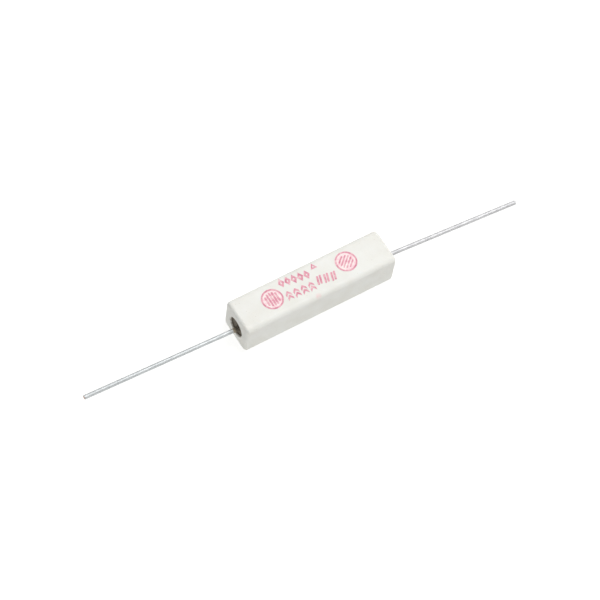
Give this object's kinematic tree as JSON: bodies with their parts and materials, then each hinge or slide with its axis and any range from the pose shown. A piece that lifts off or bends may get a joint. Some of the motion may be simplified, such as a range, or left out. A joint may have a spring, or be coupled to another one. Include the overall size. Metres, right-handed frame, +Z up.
{
  "type": "axial resistor",
  "caption": "Wirewound axial resistor potted in a square white ceramic case, with a straight round lead out of each end.",
  "frame": {"origin": "middle of the flat bottom face that the ceramic case rests on", "axes": "+X along the case towards the right-hand lead, +Z up out of the face that lies on top"},
  "size_m": [0.1084, 0.009, 0.009],
  "materials": {
    "white_ceramic": "matte",
    "cement": "rough",
    "glass_fibre": "matte",
    "resistance_alloy": "satin",
    "cap_steel": "satin",
    "tinned_copper": "bright"
  },
  "bodies": {
    "root": {"ceramic_case": "white_ceramic", "potting_cement": "cement", "core_rod": "glass_fibre", "resistance_wire": "resistance_alloy", "end_cap_left": "cap_steel", "end_cap_right": "cap_steel", "lead_left": "tinned_copper", "lead_right": "tinned_copper"}
  },
  "joints": []
}
